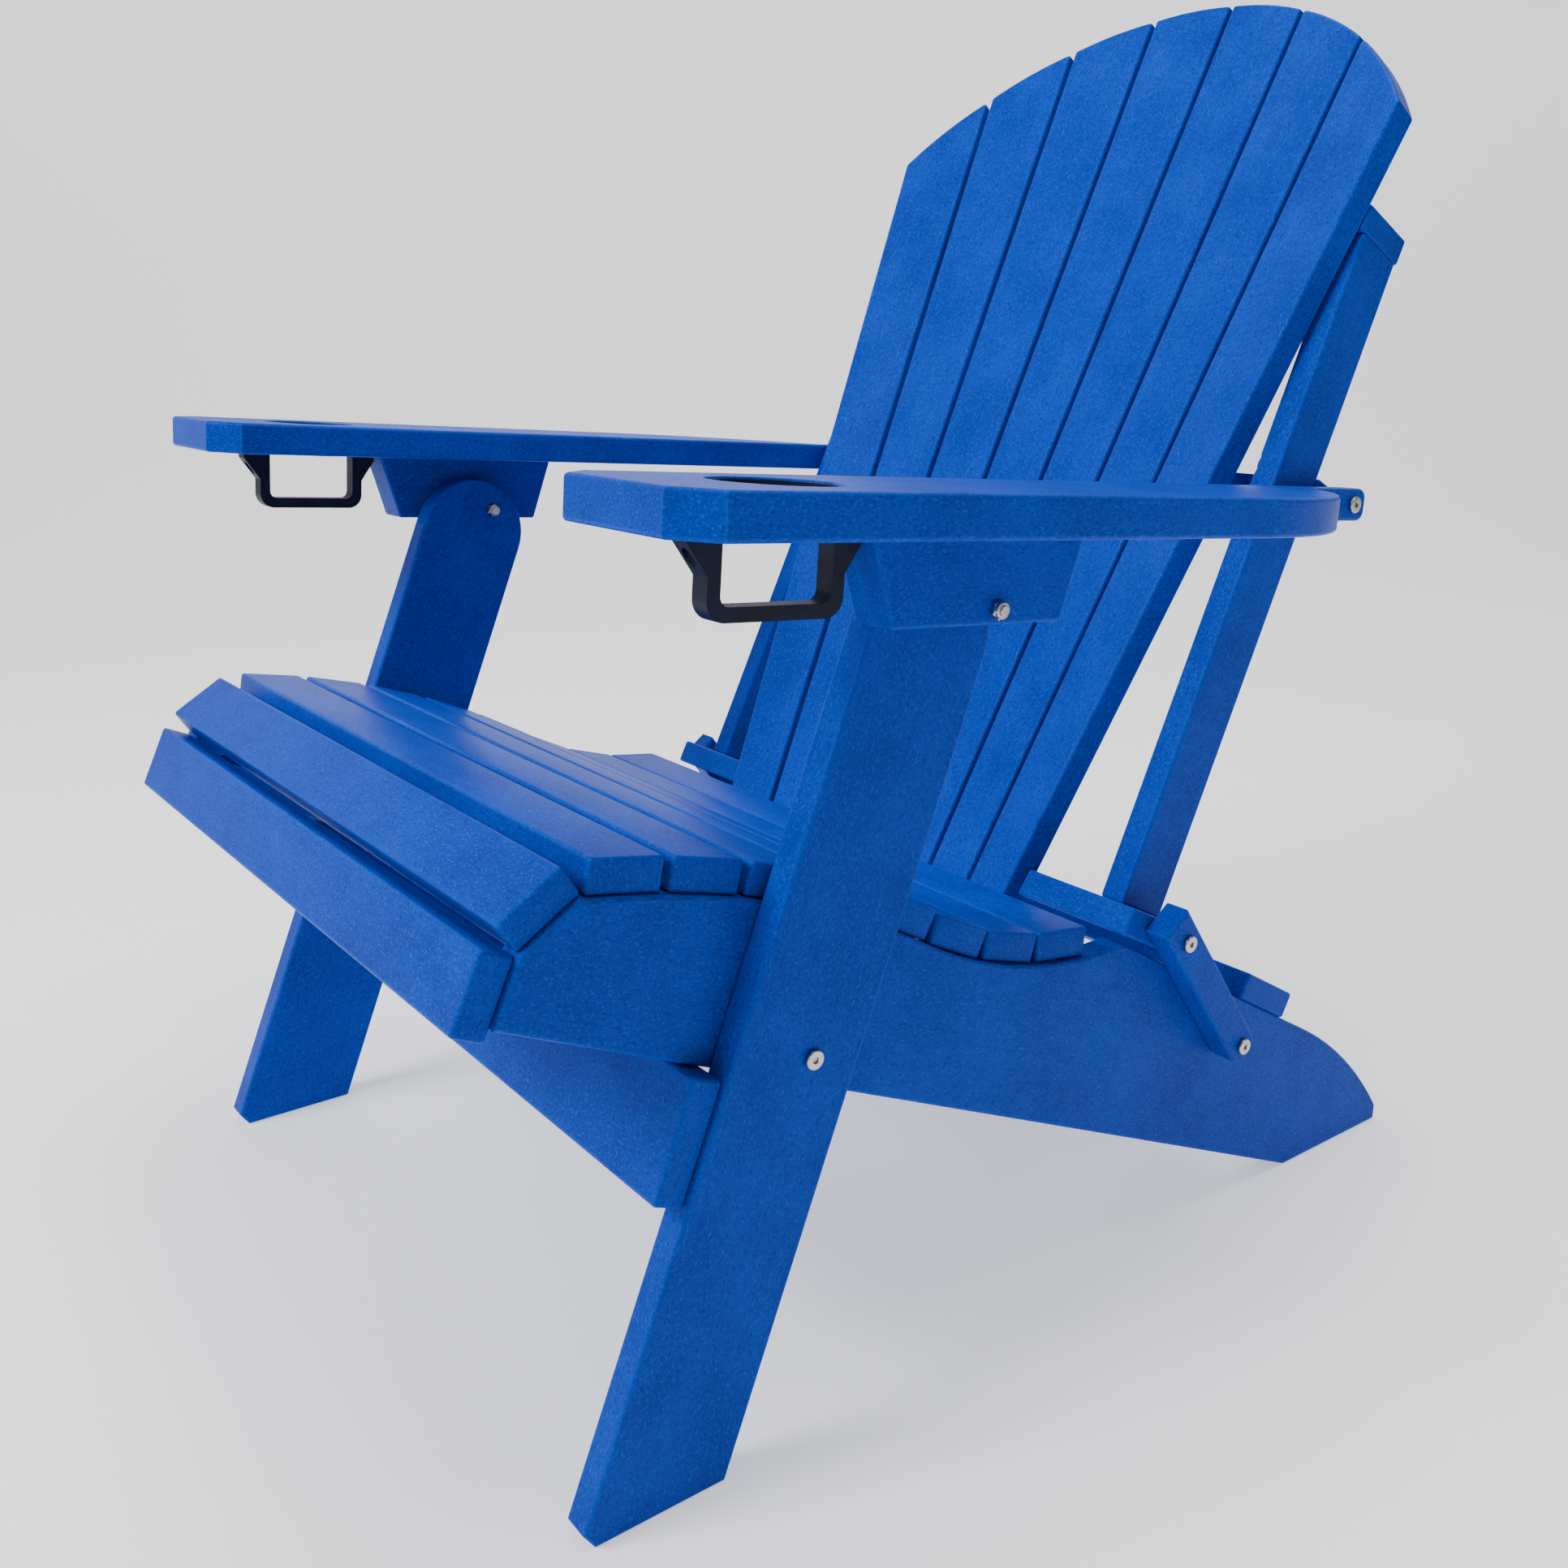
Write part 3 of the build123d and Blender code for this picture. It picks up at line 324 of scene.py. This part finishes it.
subparts = frame["record"]["subparts"]
lumberNodes = [entry["node"] for entry in subparts if entry["material_slot"] == "blue_lumber"]
boards = {name: boardAxes(name) for name in lumberNodes}


def dress(node, material):
    # gives a CAD node one material
    data = nodes[node].data
    data.materials.clear()
    data.materials.append(material)


lumber = {}
for index, name in enumerate(lumberNodes):
    lumber[name] = lumberMaterial("lumber_" + name, boards[name][1][0], index * 0.37)
    dress(name, lumber[name])
slotMaterial = {"navy_moulding": moulding, "stainless_steel": steel, "white_nylon": nylon}
for entry in subparts:
    if entry["material_slot"] in slotMaterial:
        dress(entry["node"], slotMaterial[entry["material_slot"]])
print("boards measured and dressed")


# repeated pieces: one template set out at many places by geometry nodes
def linkObject(name, mesh):
    piece = bpy.data.objects.new(name, mesh)
    bpy.context.scene.collection.objects.link(piece)
    return piece


def repeatTree():
    tree = bpy.data.node_groups.new("repeatPiece", "GeometryNodeTree")
    sockets = {}
    for name, kind in (("Places", "Geometry"), ("Piece", "Object"), ("Finish", "Material")):
        socket = tree.interface.new_socket(name, in_out="INPUT", socket_type="NodeSocket" + kind)
        sockets[name] = socket.identifier
    tree.interface.new_socket("Result", in_out="OUTPUT", socket_type="NodeSocketGeometry")
    given = tree.nodes.new("NodeGroupInput")
    result = tree.nodes.new("NodeGroupOutput")
    source = tree.nodes.new("GeometryNodeObjectInfo")
    turn = tree.nodes.new("GeometryNodeInputNamedAttribute")
    turn.data_type = "FLOAT_VECTOR"
    turn.inputs["Name"].default_value = "turn"
    rotation = tree.nodes.new("FunctionNodeEulerToRotation")
    instances = tree.nodes.new("GeometryNodeInstanceOnPoints")
    realize = tree.nodes.new("GeometryNodeRealizeInstances")
    finish = tree.nodes.new("GeometryNodeSetMaterial")
    link = tree.links.new
    link(given.outputs["Piece"], source.inputs["Object"])
    link(given.outputs["Places"], instances.inputs["Points"])
    link(source.outputs["Geometry"], instances.inputs["Instance"])
    link(turn.outputs["Attribute"], rotation.inputs["Euler"])
    link(rotation.outputs["Rotation"], instances.inputs["Rotation"])
    link(instances.outputs["Instances"], realize.inputs["Geometry"])
    link(realize.outputs["Geometry"], finish.inputs["Geometry"])
    link(given.outputs["Finish"], finish.inputs["Material"])
    link(finish.outputs["Geometry"], result.inputs["Result"])
    return tree, sockets


repeatGroup, repeatSockets = repeatTree()


def repeatPiece(name, template, places, material, replaced):
    # sets a template out at places (matrices), as one plain mesh that stands for CAD nodes
    mesh = bpy.data.meshes.new(name + "_places")
    mesh.from_pydata([place.translation for place in places], [], [])
    turns = mesh.attributes.new("turn", "FLOAT_VECTOR", "POINT")
    turns.data.foreach_set("vector", [value for place in places for value in place.to_euler()])
    holder = linkObject(name + "_places", mesh)
    modifier = holder.modifiers.new("repeat", "NODES")
    modifier.node_group = repeatGroup
    modifier[repeatSockets["Piece"]] = template
    modifier[repeatSockets["Finish"]] = material
    graph = bpy.context.evaluated_depsgraph_get()
    result = bpy.data.meshes.new_from_object(holder.evaluated_get(graph), depsgraph=graph)
    bpy.data.objects.remove(holder)
    piece = linkObject(name, result)
    for face in result.polygons:
        face.use_smooth = True
    result.set_sharp_from_angle(angle=math.radians(38))
    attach(piece, nodes[replaced[0]]["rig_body"])
    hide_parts(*replaced)
    return piece


# seat slats: eased boards, all cut to one size
slatLook = {"ease": 0.0026, "steps": 4}


def easedBoard(name, sizes):
    # board about the origin, long in X, wide in Y, with eased edges
    build = bmesh.new()
    bmesh.ops.create_cube(build, size=1.0)
    bmesh.ops.scale(build, vec=Vector(sizes), verts=build.verts)
    bmesh.ops.bevel(
        build, geom=build.edges[:] + build.verts[:], offset=slatLook["ease"], segments=slatLook["steps"],
        profile=0.5, affect="EDGES",
    )
    mesh = bpy.data.meshes.new(name)
    build.to_mesh(mesh)
    build.free()
    return linkObject(name, mesh)


def boardPlace(node):
    middle, axes, sizes = boards[node]
    turn = Matrix((axes[0], axes[0].cross(axes[2]) * -1, axes[2])).transposed().to_4x4()
    return Matrix.Translation(middle) @ turn


seatSlats = ["seat_slat_" + str(number) for number in range(2, 10)]
slatTemplate = easedBoard("slatTemplate", boards[seatSlats[0]][2])
slatPlaces = [boardPlace(node) for node in seatSlats]
repeatPiece("seatSlats", slatTemplate, slatPlaces, lumber["seat_slat_5"], seatSlats)
bpy.data.objects.remove(slatTemplate)
print("seat slats set out")


# bolts, nuts and washers: turned shapes whose rings may be round or hexagonal
def ringedShape(name, rings, segments=72):
    # closed turned shape about +Z. Each ring is (radius or across-flats half, height, hexShare)
    build = bmesh.new()
    loops = []
    for radius, height, hexShare in rings:
        loop = []
        for step in range(segments):
            angle = 2 * math.pi * step / segments
            sector = (angle + math.pi / 6) % (math.pi / 3) - math.pi / 6
            reach = radius * ((1 - hexShare) + hexShare / math.cos(sector))
            loop.append(build.verts.new((reach * math.cos(angle), reach * math.sin(angle), height)))
        loops.append(loop)
    for first, second in zip(loops, loops[1:]):
        for step in range(segments):
            after = (step + 1) % segments
            build.faces.new((first[step], first[after], second[after], second[step]))
    return build, loops, name


def closeShape(build, loops, name, ends=True):
    segments = len(loops[0])
    if ends:
        build.faces.new(list(reversed(loops[0])))
        build.faces.new(loops[-1])
    else:
        for step in range(segments):
            after = (step + 1) % segments
            build.faces.new((loops[-1][step], loops[-1][after], loops[0][after], loops[0][step]))
    bmesh.ops.recalc_face_normals(build, faces=build.faces)
    mesh = bpy.data.meshes.new(name)
    build.to_mesh(mesh)
    build.free()
    return linkObject(name, mesh)


boltLook = {"head": 0.0065, "high": 0.0034, "ease": 0.0009, "socket": 0.002, "deep": 0.0022, "shank": 0.0032}


def boltTemplate(length):
    # flat-head bolt about the origin: the head bears at z = 0 and the shank runs down
    look = boltLook
    top = look["high"]
    rings = [(look["shank"] * 0.8, -length, 0), (look["shank"], -length + 0.0008, 0), (look["shank"], 0, 0)]
    rings += [(look["head"] - 0.0003, 0, 0), (look["head"], 0.0004, 0)]
    for step in range(6):
        angle = math.pi / 2 * step / 5
        inset = look["ease"] * (1 - math.cos(angle))
        drop = look["ease"] * (1 - math.sin(angle))
        rings.append((look["head"] - inset, top - drop, 0))
    socket = look["socket"]
    rings += [(socket + 0.0012, top, 0), (socket + 0.0003, top, 1), (socket, top - 0.0003, 1)]
    rings += [(socket, top - look["deep"] * 0.8, 1), (socket * 0.3, top - look["deep"], 0)]
    return closeShape(*ringedShape("boltTemplate", rings))


nutLook = {"flats": 0.00555, "high": 0.0036, "collar": 0.002, "bore": 0.00325, "ring": 0.0044}


def nutTemplate():
    # lock nut about the origin, standing on z = 0 with its collar up
    look = nutLook
    top = look["high"]
    lip = top + look["collar"]
    flats = look["flats"]
    rings = [(look["bore"], 0, 0), (flats - 0.0004, 0, 0), (flats, 0.0005, 0.75), (flats, 0.0009, 1)]
    rings += [(flats, top - 0.0006, 1), (flats, top - 0.0003, 0.6), (flats - 0.0001, top, 0)]
    rings += [(flats - 0.0002, lip - 0.0009, 0), (flats - 0.0004, lip - 0.0003, 0), (flats - 0.0009, lip, 0)]
    seat = look["ring"]
    rings += [(seat + 0.0001, lip - 0.0001, 0), (seat, lip - 0.0005, 0), (seat, top, 0)]
    rings += [(look["bore"], top, 0)]
    return closeShape(*ringedShape("nutTemplate", rings), ends=False)


def ringTemplate(name, inner, outer, low, high, ease):
    # flat ring with eased rims
    rings = [(inner, low, 0), (outer - ease, low, 0), (outer, low + ease, 0), (outer, high - ease, 0)]
    rings += [(outer - ease, high, 0), (inner + ease, high, 0), (inner, high - ease, 0)]
    return closeShape(*ringedShape(name, rings), ends=False)


def barTemplate(length):
    # plain shank that runs down from z = 0
    radius = boltLook["shank"]
    rings = [(radius * 0.8, -length, 0), (radius, -length + 0.0008, 0)]
    rings += [(radius, -0.0004, 0), (radius - 0.0004, 0, 0)]
    return closeShape(*ringedShape("barTemplate", rings))


def across(x, point, outward):
    # place on a side face at x: the piece's +Z points outward along X
    turn = Euler((0.3, 0, 0)).to_matrix().to_4x4() @ Euler((0, math.pi / 2 * outward, 0)).to_matrix().to_4x4()
    return Matrix.Translation((x, point[1], point[2])) @ turn


legPivot = joints["leg_fold"]["pos_m"]
linkLow = joints["link_swing_left"]["pos_m"]
linkTop = joints["back_pivot"]["pos_m"]
armRear = joints["arm_pivot_left"]["pos_m"]
nutLow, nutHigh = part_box("arm_bolt_nut")
armFront = (nutLow + nutHigh) / 2
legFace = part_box("leg_left")[1].x
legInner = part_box("leg_left")[0].x
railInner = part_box("rail_left")[0].x
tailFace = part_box("arm_rear_bolts")[1].x - boltLook["high"]
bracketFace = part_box("arm_bracket_left")[1].x
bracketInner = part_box("arm_bracket_left")[0].x
washerHigh = 0.0012
nutHeight = nutLook["high"] + nutLook["collar"]
boltPast = 0.0015
barrelBolt = 0.068  # bolts that end in a barrel nut


def pair(face, point, outward=1):
    return [across(side * face, point, side * outward) for side in (1, -1)]


def steelSet(name, template, places, replaced):
    repeatPiece(name, template, places, steel, replaced)
    bpy.data.objects.remove(template)


through = legFace - railInner + washerHigh + nutHeight + boltPast
steelSet("legBolts", boltTemplate(through), pair(legFace, legPivot), ["leg_bolts"])
steelSet("linkBoltLeft", boltTemplate(through), pair(legFace, linkLow)[:1], ["link_bolt_left"])
steelSet("linkBoltRight", boltTemplate(through), pair(legFace, linkLow)[1:], ["link_bolt_right"])
steelSet("crossbarBolts", boltTemplate(barrelBolt), pair(legFace, linkTop), ["crossbar_bolts"])
steelSet("armRearBolts", boltTemplate(barrelBolt), pair(tailFace, armRear), ["arm_rear_bolts"])
steelSet("armBoltOuterRight", boltTemplate(bracketFace - bracketInner), [across(-bracketFace, armFront, -1)],
         ["arm_bolt_outer_end_right"])
steelSet("armBoltOuterLeft", barTemplate(bracketFace - bracketInner + nutHeight + boltPast),
         [across(bracketFace + nutHeight + boltPast, armFront, 1)], ["arm_bolt_outer_end_left"])
steelSet("armNut", nutTemplate(), [across(bracketFace, armFront, 1)], ["arm_bolt_nut"])
steelSet("legWashers", ringTemplate("washer", 0.00325, 0.008, 0, washerHigh, 0.0002),
         pair(railInner, legPivot, -1), ["leg_washers"])
nutFace = railInner - washerHigh
legNutPlaces = pair(nutFace, legPivot, -1) + [across(-legInner, armFront, 1)]
steelSet("legNuts", nutTemplate(), legNutPlaces, ["leg_nuts"])


def nylonSet(name, places, replaced):
    look = nutLook
    top = look["high"] + look["collar"]
    template = ringTemplate("ring", look["bore"], look["ring"], look["high"], top, 0.0003)
    repeatPiece(name, template, places, nylon, replaced)
    bpy.data.objects.remove(template)


nylonSet("armNutRing", [across(bracketFace, armFront, 1)], ["arm_bolt_nut_insert"])
nylonSet("legNutRings", legNutPlaces, ["leg_nut_inserts"])
nylonSet("linkNutRingLeft", pair(nutFace, linkLow, -1)[:1], ["link_nut_insert_left"])
nylonSet("linkNutRingRight", pair(nutFace, linkLow, -1)[1:], ["link_nut_insert_right"])
print("hardware set out")

# stage: a pale sweep, soft light and the camera
stageLook = {
    "color": (0.86, 0.86, 0.865),
    "roughness": 0.7,
    "glow": 0.6,
    "wide": 18.0,
    "near": 9.0,
    "far": 2.6,
    "bend": 1.6,
    "high": 4.5,
}
viewTurn = math.radians(53.26)


def stageMaterial():
    material, tree, shader = newMaterial("stage_pale")
    place = grainCoordinates(tree, (1, 0, 0), 0.0)
    cloud = noise(tree, place, 0.6, 2.0)
    low = tuple(value * 0.99 for value in stageLook["color"])
    tree.links.new(ramp(tree, cloud, [(0.3, low), (0.7, stageLook["color"])]), shader.inputs["Base Color"])
    shader.inputs["Roughness"].default_value = stageLook["roughness"]
    shader.inputs["Emission Color"].default_value = (1, 1, 1, 1)
    shader.inputs["Emission Strength"].default_value = stageLook["glow"]
    return material


def buildStage():
    look = stageLook
    profile = [(-look["near"], 0.0), (look["far"], 0.0)]
    for step in range(1, 13):
        angle = math.pi / 2 * step / 12
        profile.append((look["far"] + look["bend"] * math.sin(angle), look["bend"] * (1 - math.cos(angle))))
    profile.append((look["far"] + look["bend"], look["high"]))
    ahead = Vector((-math.sin(viewTurn), math.cos(viewTurn), 0))
    aside = Vector((math.cos(viewTurn), math.sin(viewTurn), 0))
    points = []
    for run, height in profile:
        for side in (-1, 1):
            points.append(ahead * run + aside * side * look["wide"] / 2 + Vector((0, 0, height)))
    faces = [(2 * row, 2 * row + 1, 2 * row + 3, 2 * row + 2) for row in range(len(profile) - 1)]
    mesh = bpy.data.meshes.new("studioFloor")
    mesh.from_pydata(points, [], faces)
    for face in mesh.polygons:
        face.use_smooth = True
    mesh.materials.append(stageMaterial())
    piece = linkObject("studioFloor", mesh)


buildStage()


def areaLight(name, place, target, size, power, color=(1, 1, 1)):
    data = bpy.data.lights.new(name, "AREA")
    data.shape = "DISK"
    data.size = size
    data.energy = power
    data.color = color
    lamp = bpy.data.objects.new(name, data)
    lamp.location = place
    lamp.rotation_euler = (Vector(target) - Vector(place)).to_track_quat("-Z", "Y").to_euler()
    bpy.context.scene.collection.objects.link(lamp)


areaLight("keyLight", (-0.6, -3.0, 2.6), (0, 0, 0.45), 1.6, 124)
areaLight("topLight", (0.2, 0.4, 3.4), (0, 0, 0.4), 2.4, 88)
areaLight("sideLight", (3.2, 0.6, 1.6), (0, 0, 0.4), 2.4, 1.5)
world = bpy.data.worlds.new("studioWorld")
world.use_nodes = True
backdrop = world.node_tree.nodes["Background"]
backdrop.inputs["Color"].default_value = (1, 1, 1, 1)
backdrop.inputs["Strength"].default_value = 0.25
bpy.context.scene.world = world

cameraLook = {
    "place": (1.0049, -0.7731, 0.700),
    "turn": (75.9, 0.0, 53.26),
    "lens": 35.147,
    "shift": (-0.0006, -0.0408),
}
cameraData = bpy.data.cameras.new("camera")
cameraData.sensor_width = 36.0
cameraData.lens = cameraLook["lens"]
cameraData.shift_x = cameraLook["shift"][0]
cameraData.shift_y = cameraLook["shift"][1]
cameraData.clip_start = 0.05
camera = bpy.data.objects.new("camera", cameraData)
camera.location = cameraLook["place"]
camera.rotation_euler = [math.radians(value) for value in cameraLook["turn"]]
bpy.context.scene.collection.objects.link(camera)
bpy.context.scene.camera = camera


print("stage, light and camera set")
